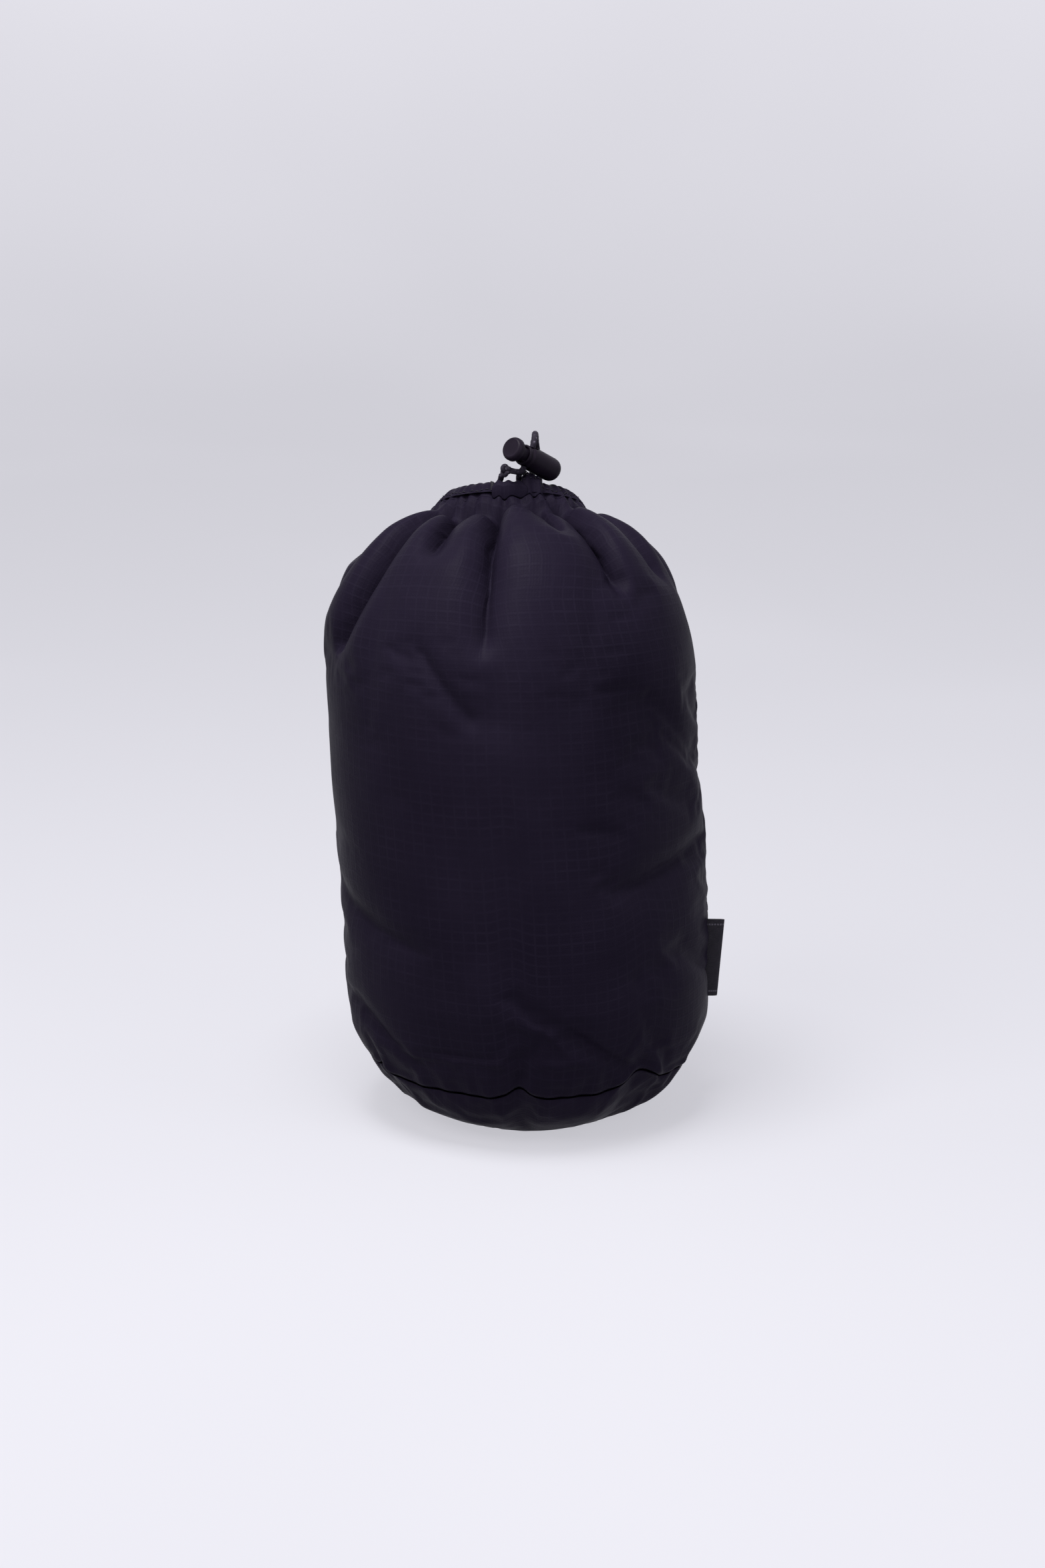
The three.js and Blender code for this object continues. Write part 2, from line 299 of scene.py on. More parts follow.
# Free drawcord routes, the same points as in the CAD
ROUTES = {
    "drawcord_strand_left": (
        (-13.5, 2.9, 279.1), (-12.4, 2.8, 279.9), (-11.5, 2.3, 281.8), (-11, 1, 284),
    ),
    "drawcord_strand_right": (
        (-1.7, 2.9, 279.1), (-2.9, 2.9, 279.9), (-3.6, 2.7, 282), (-3.2, 1.7, 284.6),
        (-2.1, 0.6, 286.1), (-1.3, 0.8, 287.5),
    ),
    "drawcord_knot_to_lock": (
        (-5.6, -2.7, 286.1), (-4.2, -2.8, 285.9), (-2.8, -2.7, 286.1), (-1.9, -2.3, 286.9),
        (-1.3, -2, 288.2),
    ),
    "drawcord_tail": (
        (2.2, 0, 296), (2.8, 0.4, 297.6), (3.1, 1.9, 299.9), (3.3, 5, 301.2), (3.7, 8.8, 300.4),
        (3.9, 12.2, 297.2), (4.4, 15, 292.9), (4.8, 17.8, 288.4), (5.1, 21.4, 283.8),
        (5.4, 26, 279.6), (5.5, 31.4, 276.2), (5.6, 36.8, 273.8), (5.7, 42.4, 271.6),
        (6.5, 49, 268.2), (8.2, 55.4, 262), (10.8, 61.4, 253.4), (14.4, 67.2, 242.2),
        (18.4, 72.2, 229), (22.4, 75.2, 213.5), (25.4, 76.6, 196), (26.8, 77.6, 178.5),
        (26.5, 78.8, 161), (25, 79.6, 145), (20.5, 80.8, 132.5), (14.5, 81.8, 130),
        (9.5, 82.3, 136), (8.5, 82.4, 149), (9.5, 82, 165), (11, 81.4, 182), (12, 80.3, 199),
        (12, 78.2, 215.5), (10.8, 74.2, 230), (8.6, 68.3, 243), (6, 61.4, 254.8),
        (3.8, 53.8, 264.8), (2.6, 46.6, 269.2), (2.3, 40.4, 271.9), (2.2, 34.6, 274.2),
        (2.2, 29, 276.8), (2.2, 23.8, 280), (2.2, 19.4, 283.6), (2.2, 15.8, 287.4),
        (2.4, 12.6, 291.4), (2.6, 9.6, 295.2), (2.7, 6.8, 297.6), (2.8, 4.5, 297.6),
        (2.6, 3.2, 296.6), (2.2, 2.7, 295.3),
    ),
}
KNOT_AT = np.array((-9.2, -2, 286.4))
KNOT_TURN = 0.5
KNOT_CORD_SHARE = 0.82
KNOT_EXIT = KNOT_AT + (1.6, -0.2, 0.1)
LOOP_END_GAP = 0.6


# Camera, floor and light

CAMERA_ELEVATION = math.radians(14)
CAMERA_DISTANCE = 1.35
CAMERA_AIM = Vector((-0.002, 0, 0.147))
CAMERA_LENS = 70.2
# The pale floor's radius, the radius of the curve up into its wall, and the wall's top
FLOOR_R, FLOOR_CURVE, WALL_TOP = 2200, 900, 3200
FLOOR_SIDES = 96
# Lights: name, place, width and height in metres, power in watts, colour
LIGHTS = (
    ("key", (-0.75, -0.85, 1.25), (0.8, 0.8), 17, (1, 0.99, 0.97)),
    ("fill", (1.1, -0.7, 0.7), (0.5, 1.1), 5, (0.97, 0.96, 1)),
    ("top", (-0.15, -0.25, 1.3), (0.6, 0.4), 24, (1, 1, 1)),
)
LIGHTS_AIM = Vector((0, 0, 0.15))
WORLD_COLOUR, WORLD_STRENGTH = (0.95, 0.94, 0.99, 1), 0.5


def make_camera():
    """The photograph's view: a little above the sack, from some way off."""
    data = bpy.data.cameras.new("camera")
    data.lens = CAMERA_LENS
    camera = new_object("camera", data)
    back = Vector((0, -math.cos(CAMERA_ELEVATION), math.sin(CAMERA_ELEVATION)))
    camera.location = CAMERA_AIM + back * CAMERA_DISTANCE
    camera.rotation_euler = (-back).to_track_quat("-Z", "Y").to_euler()
    bpy.context.scene.camera = camera


def make_stage():
    """A pale floor that curves up into a wall all round."""
    foot = 10
    sweep = [(600, 0), (1400, 0), (FLOOR_R, foot)]
    for i in range(1, 13):
        turn = math.pi / 2 * i / 12
        out, up = FLOOR_CURVE * math.sin(turn), FLOOR_CURVE * (1 - math.cos(turn))
        sweep.append((FLOOR_R + out, foot + up))
    sweep.append((FLOOR_R + FLOOR_CURVE, WALL_TOP))
    points = [(0, 0, 0)]
    for r, z in sweep:
        for j in range(FLOOR_SIDES):
            angle = 2 * math.pi * j / FLOOR_SIDES
            points.append((r * math.cos(angle), r * math.sin(angle), z))
    faces = grid_faces(len(sweep), FLOOR_SIDES, first=1)
    faces += [(0, 1 + (j + 1) % FLOOR_SIDES, 1 + j) for j in range(FLOOR_SIDES)]
    floor = mesh_object("floor", points, faces, floor_paint(), body=None)


def make_lights():
    for name, place, size, power, colour in LIGHTS:
        data = bpy.data.lights.new(name, "AREA")
        data.shape = "RECTANGLE"
        data.size, data.size_y = size
        data.energy = power
        data.color = colour
        light = new_object(name, data)
        light.location = place
        way = LIGHTS_AIM - Vector(place)
        light.rotation_euler = way.to_track_quat("-Z", "Y").to_euler()
    world = bpy.data.worlds.new("studio")
    world.use_nodes = True
    background = world.node_tree.nodes["Background"]
    background.inputs["Color"].default_value = WORLD_COLOUR
    background.inputs["Strength"].default_value = WORLD_STRENGTH
    bpy.context.scene.world = world
    bpy.context.scene.view_settings.view_transform = "Standard"


# Materials

# Ripstop cloth, in metres: the spacing and width of the grid's thick threads, of the slubs between
# them, and the spacing of the weave
GRID_U, GRID_V, GRID_WIDTH = 0.0050, 0.0043, 0.0007
SLUB_U, SLUB_V, SLUB_WIDTH = 0.00137, 0.00144, 0.0004
WEAVE = 0.00042
NYLON_DARK, NYLON_LIGHT = (0.0056, 0.0042, 0.0090), (0.0086, 0.0066, 0.0132)
NYLON_THREAD = (0.0115, 0.0092, 0.0175)
# The label's ribbon, in metres: its ribs, its middle, and how far from it the pale thread lies
RIB, RIB_CROSS, RIBBON_MIDDLE = 0.0005, 0.0006, 0.018
BORDER_FROM, BORDER_TO = 0.0152, 0.0160


class Paint:
    """A node material with short ways to add and join nodes."""

    def __init__(self, name):
        self.material = bpy.data.materials.new(name)
        self.material.use_nodes = True
        self.tree = self.material.node_tree
        self.shader = self.tree.nodes["Principled BSDF"]

    def node(self, kind, inputs=(), **settings):
        made = self.tree.nodes.new(kind)
        for key, value in settings.items():
            setattr(made, key, value)
        for key, value in dict(inputs).items():
            self.feed(made.inputs[key], value)
        return made

    def feed(self, socket, value):
        if isinstance(value, bpy.types.NodeSocket):
            self.tree.links.new(value, socket)
        else:
            socket.default_value = value

    def place(self):
        """Where a point is on its object."""
        return self.node("ShaderNodeTexCoord").outputs["Object"]

    def cloth_place(self):
        """Where a point is on the flat cloth, and its two parts."""
        where = self.node("ShaderNodeUVMap", uv_map="flat_cloth").outputs["UV"]
        split = self.node("ShaderNodeSeparateXYZ", {"Vector": where})
        return where, split.outputs["X"], split.outputs["Y"]

    def wave(self, axis, period):
        return self.math("SINE", self.math("MULTIPLY", axis, 2 * math.pi / period))

    def math(self, operation, *values):
        made = self.tree.nodes.new("ShaderNodeMath")
        made.operation = operation
        for socket, value in zip(made.inputs, values):
            self.feed(socket, value)
        return made.outputs[0]

    def noise(self, where, scale, detail=2.0, roughness=0.5):
        inputs = {"Vector": where, "Scale": scale, "Detail": detail, "Roughness": roughness}
        return self.node("ShaderNodeTexNoise", inputs).outputs["Fac"]

    def ramp(self, value, low, high, to_low, to_high):
        inputs = {
            "Value": value, "From Min": low, "From Max": high, "To Min": to_low, "To Max": to_high,
        }
        return self.node("ShaderNodeMapRange", inputs).outputs["Result"]

    def mix(self, share, first, second):
        made = self.node("ShaderNodeMix", data_type="RGBA")
        self.feed(made.inputs["Factor"], share)
        for name, value in (("A", first), ("B", second)):
            socket = next(i for i in made.inputs if i.type == "RGBA" and i.name == name)
            self.feed(socket, value)
        return next(o for o in made.outputs if o.type == "RGBA")

    def bump(self, height, strength, distance, normal=None):
        inputs = {"Height": height, "Strength": strength, "Distance": distance}
        made = self.node("ShaderNodeBump", inputs)
        if normal:
            self.feed(made.inputs["Normal"], normal)
        return made.outputs["Normal"]

    def set(self, **inputs):
        """Feeds the shader's inputs, named with _ for each space, and gives back the material."""
        for key, value in inputs.items():
            self.feed(self.shader.inputs[key.replace("_", " ").title().replace("Ior", "IOR")], value)
        return self.material


def floor_paint():
    """A pale surface with a glow of its own, which keeps it even as in the photograph."""
    paint = Paint("pale_floor")
    where = paint.place()
    height = paint.node("ShaderNodeSeparateXYZ", {"Vector": where}).outputs["Z"]
    tone = paint.ramp(paint.noise(where, 1.3), 0.3, 0.7, -0.1, 0.1)
    tone = paint.math("ADD", tone, paint.ramp(height, 0.0, 0.8, 0, 1))
    colour = paint.mix(tone, (0.13, 0.13, 0.14, 1), (0.16, 0.16, 0.17, 1))
    glow = paint.mix(tone, (0.52, 0.515, 0.555, 1), (0.70, 0.69, 0.74, 1))
    paint.set(emission_color=glow, emission_strength=1.0)
    return paint.set(base_color=colour, roughness=0.9, specular_ior_level=0)


def thread_lines(paint, axis, period, width):
    """Thin lines at an even period along one axis of the flat cloth: 1 on a line, 0 between."""
    turn = paint.math("FRACT", paint.math("MULTIPLY", axis, 1 / period))
    off = paint.math("ABSOLUTE", paint.math("SUBTRACT", turn, 0.5))
    return paint.ramp(off, 0.5 - width / period, 0.5, 0, 1)


def ripstop_paint(name, tone=1.0):
    """Dark nylon with a ripstop grid, a fine weave and faint changes of tone and gloss."""
    paint = Paint(name)
    where, u, v = paint.cloth_place()
    wander = paint.math("MULTIPLY", paint.noise(where, 90.0, 1.0), 0.0006)
    u = paint.math("ADD", u, wander)
    v = paint.math("ADD", v, wander)
    grid_u = thread_lines(paint, u, GRID_U, GRID_WIDTH)
    grid = paint.math("MAXIMUM", grid_u, thread_lines(paint, v, GRID_V, GRID_WIDTH))
    slub_u = thread_lines(paint, u, SLUB_U, SLUB_WIDTH)
    slubs = paint.math("MAXIMUM", slub_u, thread_lines(paint, v, SLUB_V, SLUB_WIDTH))
    patchy = paint.ramp(paint.noise(where, 60.0, 3.0), 0.35, 0.7, 0.15, 1.0)
    weave = paint.math("MULTIPLY", paint.wave(u, WEAVE), paint.wave(v, WEAVE))
    raised = paint.math("MULTIPLY", grid, patchy)
    height = paint.math("ADD", raised, paint.math("MULTIPLY", slubs, 0.35))
    height = paint.math("ADD", height, paint.math("MULTIPLY", weave, 0.12))
    crumple = paint.noise(where, 42.0, 4.0, 0.55)
    normal = paint.bump(crumple, 0.25, 0.0022)
    normal = paint.bump(height, 0.4, 0.00022, normal)
    dye = paint.ramp(paint.noise(where, 9.0, 4.0, 0.6), 0.3, 0.7, 0, 1)
    dark, light, thread = (
        (*(tone * c for c in colour), 1) for colour in (NYLON_DARK, NYLON_LIGHT, NYLON_THREAD)
    )
    colour = paint.mix(dye, dark, light)
    colour = paint.mix(paint.math("MULTIPLY", raised, 0.4), colour, thread)
    rough = paint.ramp(paint.noise(where, 25.0, 3.0), 0.3, 0.7, 0.36, 0.46)
    return paint.set(base_color=colour, roughness=rough, normal=normal, specular_ior_level=0.01)


def plain_paint(name, base, roughness, scale, depth, metallic=0.0, gloss=0.15):
    """A moulded or drawn surface with a fine grain and small changes of tone and gloss."""
    paint = Paint(name)
    where = paint.place()
    grain = paint.noise(where, scale, 3.0, 0.6)
    tone = paint.ramp(paint.noise(where, scale / 12, 3.0), 0.3, 0.7, 0.8, 1.25)
    scaled = paint.node("ShaderNodeVectorMath", {0: base, "Scale": tone}, operation="SCALE")
    rough = paint.ramp(grain, 0.3, 0.7, roughness * 0.85, roughness * 1.2)
    paint.set(metallic=metallic, specular_ior_level=gloss)
    normal = paint.bump(grain, 0.4, depth)
    return paint.set(base_color=scaled.outputs[0], roughness=rough, normal=normal)


def cord_paint():
    """Dark braid with pale flecks where single yarns come to the surface."""
    paint = Paint("drawcord_braid")
    where = paint.place()
    cells = paint.node("ShaderNodeTexVoronoi", {"Vector": where, "Scale": 900.0})
    fleck = paint.ramp(cells.outputs["Color"], 0.55, 0.75, 0, 1)
    fleck = paint.math("MULTIPLY", fleck, paint.ramp(cells.outputs["Distance"], 0.1, 0.5, 1, 0.1))
    fuzz = paint.noise(where, 2600.0, 2.0)
    colour = paint.mix(fleck, (0.007, 0.005, 0.011, 1), (0.085, 0.075, 0.10, 1))
    normal = paint.bump(fuzz, 0.5, 0.0001)
    return paint.set(base_color=colour, roughness=0.75, normal=normal, specular_ior_level=0.15)


def ribbon_paint():
    """Black woven ribbon: fine ribs, with a pale thread along each border."""
    paint = Paint("label_ribbon")
    where, u, v = paint.cloth_place()
    cross = paint.math("MULTIPLY", paint.wave(u, RIB_CROSS), 0.4)
    height = paint.math("ADD", paint.wave(v, RIB), cross)
    edge = paint.math("ABSOLUTE", paint.math("SUBTRACT", v, RIBBON_MIDDLE))
    past = paint.math("GREATER_THAN", edge, BORDER_FROM)
    border = paint.math("MULTIPLY", past, paint.math("LESS_THAN", edge, BORDER_TO))
    dash = paint.math("GREATER_THAN", paint.math("FRACT", paint.math("MULTIPLY", u, 900.0)), 0.35)
    dark, light = (0.008, 0.007, 0.011, 1), (0.016, 0.014, 0.020, 1)
    colour = paint.mix(paint.noise(where, 300.0), dark, light)
    colour = paint.mix(paint.math("MULTIPLY", border, dash), colour, (0.06, 0.055, 0.07, 1))
    normal = paint.bump(height, 0.5, 0.00012)
    return paint.set(base_color=colour, roughness=0.7, normal=normal, specular_ior_level=0.15)


# The sack's cloth

# Folds gathered under the hem: the angle at the neck, the angle and latitude where the fold dies out,
# how deep it is next to the others, its width and how far it leans to one side (degrees)
FOLDS = (
    (-3, -2, 50, 0.8, 3.6, 0),
    (-9, -8, 8, 1.2, 5.5, 0.3),
    (-24, -29, 30, 1.3, 6.5, -0.7),
    (-40, -74, -2, 1.3, 6.5, -0.8),
    (-62, -100, 10, 0.9, 7, -0.4),
    (8, 25, 38, 1.3, 6, 0.7),
    (27, 44, 20, 1.4, 6, 0.9),
    (50, 72, 24, 1.0, 7, 0.4),
    (74, 98, 10, 0.9, 7, 0.4),
    (97, 112, 32, 0.8, 7, 0),
    (119, 133, 14, 1.1, 7, 0.3),
    (141, 150, 33, 0.8, 7, 0),
    (163, 166, 10, 1.1, 7, -0.3),
    (184, 186, 28, 0.8, 7, 0.2),
    (206, 205, 16, 1.1, 7, 0),
    (228, 224, 34, 0.8, 7, -0.2),
    (252, 243, 12, 1.1, 7, -0.3),
    (274, 266, 30, 0.8, 7, 0),
)
# Places where the base seam is drawn up: angle, height and width
SEAM_NOTCHES = (
    (-62, 3.5, 5), (-3.5, 5.5, 4.5), (41, 7.5, 8), (92, 4, 6), (131, 6, 7), (173, 4, 5),
    (214, 5.5, 7), (256, 4, 6),
)
SEAM_LOW = 25.6
SEAM_TUCK = 1.3
# Gathers round the base seam and ruffles under the hem: size, how many go round, and turn
PUCKERS = ((0.5, 17, 0.3), (0.5, 26, 1.7), (0.35, 41, 4.0), (0.5, 7, 2.0))
PUCKER_REACH = 13
RUFFLES = ((0.55, 34, 0.4), (0.3, 47, 2.0), (0.25, 59, 4.1))
RUFFLE_SHARE = 0.1
# Above this latitude the folds give way to the ruffles, by this share at the hem
FADE_FROM, FADE_BY = math.radians(58), 0.85
# Soft creases on the flanks: angle and height of both ends, depth and width in millimetres
CREASES = (
    (-2, 236, -4, 192, 1.6, 9), (30, 236, 23, 200, 1.4, 9), (-44, 232, -48, 184, 1.7, 9),
    (-27, 216, -12, 192, 2.2, 4), (-85, 106, -38, 92, 1.7, 6), (14, 57, 42, 28, 2.2, 5),
    (-3.5, 36, 6, 62, 1.8, 4), (48, 196, 92, 148, 1.7, 8), (36, 118, 78, 126, 1.4, 7),
    (41, 34, 36, 78, 1.8, 5), (-22, 150, -12, 96, 1.0, 12), (-66, 60, -40, 38, 1.6, 6),
    (60, 86, 86, 62, 1.5, 6), (8, 160, 16, 110, 0.9, 12),
)
# The deepest scale of the folds, and the share of the cloth's girth that they take up
FOLD_MAX, GIRTH_SHARE = 13.0, 0.985
# Blender's cloth: how many frames it runs, how far a point may move from the drawn shape, settings
SIMULATION_FRAMES = 20
SIMULATION_CAP = 4.5
SIMULATION = {
    "quality": 5,
    "mass": 0.01,
    "use_pressure": True,
    "uniform_pressure_force": 30,
    "tension_stiffness": 60,
    "compression_stiffness": 60,
    "shear_stiffness": 30,
    "bending_stiffness": 0.005,
    "tension_damping": 1,
    "compression_damping": 1,
    "shear_damping": 1,
    "bending_damping": 0.5,
    "shrink_min": -0.03,
    "shrink_max": -0.03,
}


def small_folds(seed=7):
    """Short folds between the large ones, close under the hem."""
    random = np.random.default_rng(seed)
    necks = sorted(fold[0] for fold in FOLDS)
    found = []
    for low, high in zip(necks, [*necks[1:], necks[0] + 360]):
        count = max(1, round((high - low) / 11) - 1)
        for k in range(1, count + 1):
            at = low + (high - low) * k / (count + 1) + random.uniform(-1, 1)
            end = at + random.uniform(-2, 2)
            found.append((at, end, random.uniform(50, 58), random.uniform(0.35, 0.6), 3.5, 0))
    return found


ALL_FOLDS = (*FOLDS, *small_folds())


def back_creases(seed=3, count=16):
    """More soft creases round the sides and back, of the same kinds as in front."""
    random = np.random.default_rng(seed)
    found = []
    for k in range(count):
        at = 105 + 160 * (k + random.uniform(0, 1)) / count
        z = random.uniform(45, 225)
        on, up = random.uniform(-26, 26), random.uniform(-44, 44)
        found.append((at, z, at + on, z + up, random.uniform(1.2, 2.2), random.uniform(4, 9)))
    return found


ALL_CREASES = (*CREASES, *back_creases())


def crease_depth(angles, z):
    """How far the creases go in at each angle and height."""
    depth = np.zeros(np.broadcast(angles, z).shape)
    for at, low, to, high, deep, wide in ALL_CREASES:
        on, up = math.radians(to - at) * BELLY_R, high - low
        across, rise = turn_from(angles, at) * BELLY_R, z - low
        share = np.clip((across * on + rise * up) / (on**2 + up**2), 0, 1)
        gap = np.hypot(across - share * on, rise - share * up)
        depth = depth + 1.4 * deep * np.exp(-((gap / wide) ** 1.4))
    return depth


def waves(sizes, angles):
    """Even waves round the sack from rows of size, how many go round, and turn."""
    return sum(size * np.sin(count * angles + turn) for size, count, turn in sizes)


def fold_relief(latitude):
    """Depth and sideways lean of the folds round one ring of the shoulder."""
    depth, aside = np.zeros(DENSE), np.zeros(DENSE)
    near_hem = smooth(FADE_FROM, HEM_LATITUDE, latitude)
    fade = 1 - FADE_BY * near_hem
    for neck, end, low, share, width, lean in ALL_FOLDS:
        low = math.radians(low)
        if latitude <= low:
            continue
        up = (latitude - low) / (HEM_LATITUDE - low)
        centre = end + (neck - end) * up**0.8
        rise = smooth(0, math.radians(9), latitude - low) * (0.35 + 0.65 * min(1, up * 1.6))
        reach = math.radians(width) * (0.36 / max(math.cos(latitude), 0.35) + 0.35)
        away = turn_from(DENSE_ANGLES, centre)
        cut = share * rise * fade * np.exp(-np.abs(away / reach) ** 1.3)
        depth += cut
        aside += cut * lean
    return depth + RUFFLE_SHARE * near_hem * (1 - waves(RUFFLES, DENSE_ANGLES)), aside


def dome_ring(latitude, scale):
    """A dense ring of cloth on the shoulder's ball with its folds cut to a scale."""
    depth, aside = fold_relief(latitude)
    height = DOME_Z + DOME_R * math.sin(latitude)
    radius = DOME_R - depth * scale - crease_depth(DENSE_ANGLES, height)
    angle = DENSE_ANGLES + 0.6 * aside * scale / max(DOME_R * math.cos(latitude), 20)
    return round_the_sack(radius * math.cos(latitude), angle, DOME_Z + radius * math.sin(latitude))


def ring_steps(ring):
    """The distance from each of a ring's points to the next."""
    return np.linalg.norm(np.roll(ring, -1, 0) - ring, axis=1)


def fold_scale(latitude):
    """The scale at which the folds take up the whole girth of the cloth."""
    low, high = 0.0, FOLD_MAX
    for _ in range(16):
        middle = (low + high) / 2
        if ring_steps(dome_ring(latitude, middle)).sum() < GIRTH_SHARE * GIRTH:
            low = middle
        else:
            high = middle
    return low


def columns_on(ring):
    """The cloth's columns at even steps along a dense ring, without turning round the sack."""
    along = np.concatenate([[0], np.cumsum(ring_steps(ring))])
    share = along / along[-1]
    angles = np.append(DENSE_ANGLES, math.pi)
    start = 0.0
    for _ in range(6):
        at = np.arange(COLUMNS) / COLUMNS + start
        found = np.interp(at % 1, share, angles) + 2 * math.pi * np.floor(at)
        start -= np.mean(found - COLUMN_ANGLES) / (2 * math.pi)
    place = np.interp((np.arange(COLUMNS) / COLUMNS + start) % 1, share, np.arange(DENSE + 1))
    closed = np.vstack([ring, ring[:1]])
    return np.stack([np.interp(place, np.arange(DENSE + 1), closed[:, k]) for k in range(3)], 1)


def circle(radius, z):
    """One point for each column at a radius and height; either may change round the ring."""
    return round_the_sack(radius, COLUMN_ANGLES, z)


def puckers():
    """Small gathers round the base seam, stronger at the notches."""
    wave = waves(PUCKERS, COLUMN_ANGLES)
    for at, height, width in SEAM_NOTCHES:
        away = turn_from(COLUMN_ANGLES, at)
        near = bump(COLUMN_ANGLES, at, 2.2 * width)
        wave = wave - 0.3 * height * near * np.cos(away * 360 / (1.7 * width))
    return wave


def seam_height():
    z = np.full(COLUMNS, SEAM_LOW)
    for at, height, width in SEAM_NOTCHES:
        z += height * bump(COLUMN_ANGLES, at, width)
    return z


def base_rings():
    """The round base from near its middle out to the seam: shape and flat cut."""
    shape, flat = [], []
    line_r, line_z = zip(*BASE_LINE)
    lift = seam_height() - SEAM_Z
    wave = puckers()
    for i in range(FLAT_ROWS, BASE_ROWS):
        out = i / BASE_ROWS
        z = np.interp(out * SEAM_R, line_r, line_z)
        near = smooth(0.62, 1, out)
        shape.append(circle(out * SEAM_R + 0.6 * wave * near, z + lift * near + 0.7 * wave * near))
        flat.append(circle(out * BELLY_R, 0))
    return shape, flat


def flank_rings():
    """The cloth from the base seam up to the middle of the shoulder's ball."""
    shape, flat = [], []
    known_z, known_r = zip(*FLANK_R)
    low, wave = seam_height(), puckers()
    for i in range(FLANK_ROWS + 1):
        up = i / FLANK_ROWS
        z = low + (DOME_Z - low) * up
        radius = np.interp(z, known_z, known_r)
        fade = np.exp(-(z - low) / PUCKER_REACH)
        tuck = SEAM_TUCK if i == 0 else 0
        crease = crease_depth(COLUMN_ANGLES, z) * smooth(0, 6, z - low)
        shape.append(circle(radius + wave * fade - tuck - crease, z))
        flat.append(circle(BELLY_R, (DOME_Z - SEAM_Z) * up))
    return shape, flat


def dome_rings():
    """The gathered shoulder, up to the hem's stitch line."""
    latitudes = HEM_LATITUDE * np.arange(1, DOME_ROWS + 1) / DOME_ROWS
    scales = np.array([fold_scale(latitude) for latitude in latitudes])
    kernel = np.exp(-np.linspace(-2, 2, 7) ** 2)
    scales = np.convolve(np.pad(scales, 3, mode="edge"), kernel / kernel.sum(), "valid")
    shape, flat = [], []
    for latitude, scale in zip(latitudes, scales):
        shape.append(columns_on(dome_ring(latitude, scale)))
        flat.append(circle(BELLY_R, DOME_Z - SEAM_Z + DOME_R * latitude))
    return shape, flat


def fill_with_clothes(start, flat, faces, pinned):
    """Blender's cloth puffs the sack out from its start shape, so that it finds its own wrinkles."""
    cloth = rough_object("sack_at_start", start * MM, faces)
    cloth.shape_key_add(name="start")
    cut = cloth.shape_key_add(name="flat_cut")
    cut.data.foreach_set("co", (flat * MM).astype(np.float32).ravel())
    cut.value = 0
    sewn = cloth.vertex_groups.new(name="sewn")
    sewn.add([int(i) for i in pinned], 1.0, "REPLACE")
    modifier = add_modifier(cloth, "cloth", "CLOTH")
    for key, value in SIMULATION.items():
        setattr(modifier.settings, key, value)
    modifier.settings.vertex_group_mass = "sewn"
    modifier.settings.rest_shape_key = cut
    modifier.settings.effector_weights.gravity = 0
    modifier.collision_settings.use_collision = False
    modifier.point_cache.frame_end = SIMULATION_FRAMES
    scene = bpy.context.scene
    for step in range(1, SIMULATION_FRAMES + 1):
        scene.frame_set(step)
    settled = cloth.evaluated_get(bpy.context.evaluated_depsgraph_get()).to_mesh()
    found = np.empty(len(settled.vertices) * 3)
    settled.vertices.foreach_get("co", found)
    bpy.data.objects.remove(cloth)
    scene.frame_set(1)
    moved = found.reshape(-1, 3) / MM - start
    far = np.linalg.norm(moved, axis=1, keepdims=True)
    return start + moved * np.minimum(1, SIMULATION_CAP / np.maximum(far, 1e-9))


def flat_patch(rim):
    """The flat middle of the base inside a ring of cloth: more points, and faces over all of them."""
    radius = float(np.linalg.norm(rim[:, :2], axis=1).min())
    steps = np.arange(-radius, radius, PATCH_STEP)
    inner = [(x, y) for x in steps for y in steps if math.hypot(x, y) < radius - 0.6 * PATCH_STEP]
    flat = [Vector(p[:2]) for p in rim] + [Vector(p) for p in inner]
    made = delaunay_2d_cdt(flat, [], [list(range(len(rim)))], 1, 1e-5)
    origin = [min(o) for o in made[3]]
    faces = [tuple(origin[i] for i in face) for face in made[2]]
    inner = np.array([(x, y, rim[:, 2].mean() + 0.2 * math.sin(0.4 * x + 0.2 * y)) for x, y in inner])
    return inner, faces


def sack_cloth():
    """The base and the body up to the stitch line: rings of cloth, the middle patch and its faces."""
    rings = [base_rings(), flank_rings(), dome_rings()]
    start = np.vstack([ring for shape, _ in rings for ring in shape])
    flat = np.vstack([ring for _, cut in rings for ring in cut])
    rows = len(start) // COLUMNS
    seam_row = len(rings[0][0])
    middle, patch = flat_patch(start[:COLUMNS])
    patch = [tuple(i if i < COLUMNS else i - COLUMNS + len(start) for i in reversed(f)) for f in patch]
    flat = np.vstack([flat, middle * [BELLY_R / SEAM_R, BELLY_R / SEAM_R, 0]])
    start = settle(np.vstack([start, middle]))
    pinned = [row * COLUMNS + np.arange(COLUMNS) for row in (0, seam_row, rows - 1)]
    pinned.append(np.arange(rows * COLUMNS, len(start)))
    seam_rows = np.arange(seam_row, seam_row + FLANK_ROWS)
    pinned.append(seam_rows * COLUMNS + SIDE_COLUMN)
    faces = grid_faces(rows, COLUMNS) + patch
    start = fill_with_clothes(start, flat, faces, np.concatenate(pinned))
    grid = start[: rows * COLUMNS].reshape(rows, COLUMNS, 3)
    return grid, seam_row, start[rows * COLUMNS :], patch, rings[2][0][-1]


# Keeping the cloth clear of what lies on it

# How deep it may be pressed, and the gaps left under the drawcord's tail and under the lock
PRESS_REACH = 12.0
TAIL_GAP, LOCK_GAP = 0.15, 0.35


